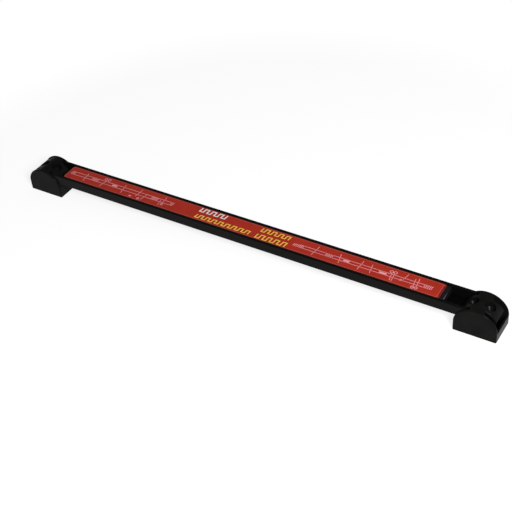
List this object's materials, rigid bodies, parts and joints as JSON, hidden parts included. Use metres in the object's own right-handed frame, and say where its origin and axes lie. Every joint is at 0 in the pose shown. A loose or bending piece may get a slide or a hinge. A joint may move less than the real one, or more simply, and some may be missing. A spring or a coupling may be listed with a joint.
{
  "type": "magnetic tool holder",
  "caption": "Long magnetic tool rail: steel pole bars and ferrite blocks under a printed strip, raised off the wall by a moulded screw-on end cap at each end.",
  "frame": {"origin": "on the mounting plane under the end caps, at the middle of the footprint", "axes": "+X along the rail towards the end where the printed strip stops short, +Y across the rail, +Z away from the mounting plane"},
  "size_m": [0.5, 0.0284, 0.0273],
  "materials": {
    "cap_plastic": "black moulded plastic, lightly grained, satin",
    "bar_paint": "semi-gloss black paint on flat steel bar",
    "strip_plastic": "black moulded plastic, dull",
    "ferrite": "ground dark grey sintered ferrite",
    "label_film": "red printed film with a satin cover"
  },
  "bodies": {
    "root": {"right_end_cap": "cap_plastic", "left_end_cap": "cap_plastic", "front_pole_bar": "bar_paint", "rear_pole_bar": "bar_paint", "base_strip": "strip_plastic", "label_strip": "label_film", "magnet_01": "ferrite", "magnet_02": "ferrite", "magnet_03": "ferrite", "magnet_04": "ferrite", "magnet_05": "ferrite", "magnet_06": "ferrite", "magnet_07": "ferrite", "magnet_08": "ferrite", "magnet_09": "ferrite", "magnet_10": "ferrite"}
  },
  "joints": []
}
